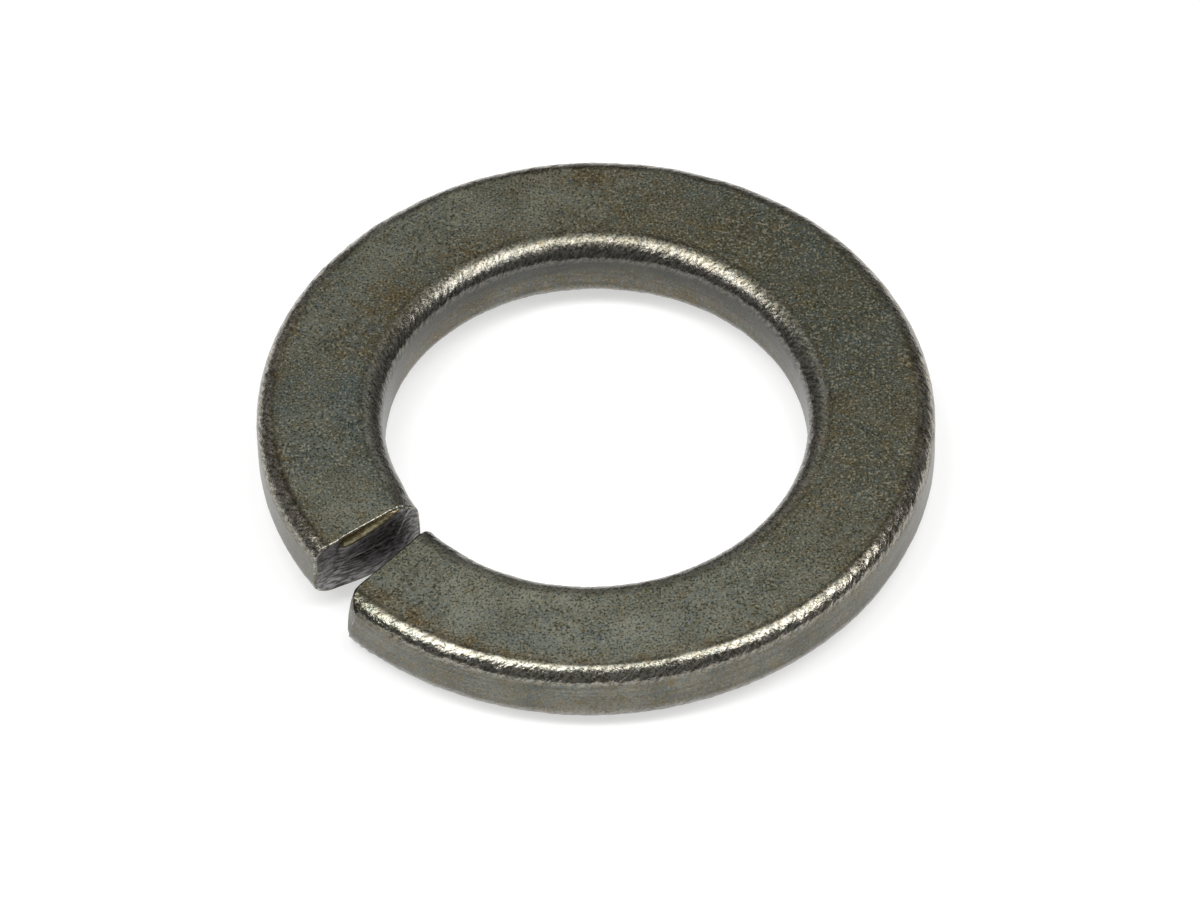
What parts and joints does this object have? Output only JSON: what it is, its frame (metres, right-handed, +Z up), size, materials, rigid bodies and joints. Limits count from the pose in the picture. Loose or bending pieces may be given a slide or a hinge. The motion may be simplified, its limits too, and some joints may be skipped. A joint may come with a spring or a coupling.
{
  "type": "spring lock washer",
  "caption": "Split helical spring washer of rounded rectangular steel with offset cut ends, which keeps a bolted joint under tension",
  "frame": {"origin": "on the bore's axis, level with the washer's lowest point", "axes": "+Z up along the bore's axis; the split opens towards -X and -Y, at a bearing of -142 degrees from +X"},
  "size_m": [0.0262, 0.0262, 0.0038],
  "materials": {
    "oiled_steel": "phosphated and oiled, olive grey, semi-gloss"
  },
  "bodies": {
    "root": {"spring_lock_washer": "oiled_steel"}
  },
  "joints": []
}
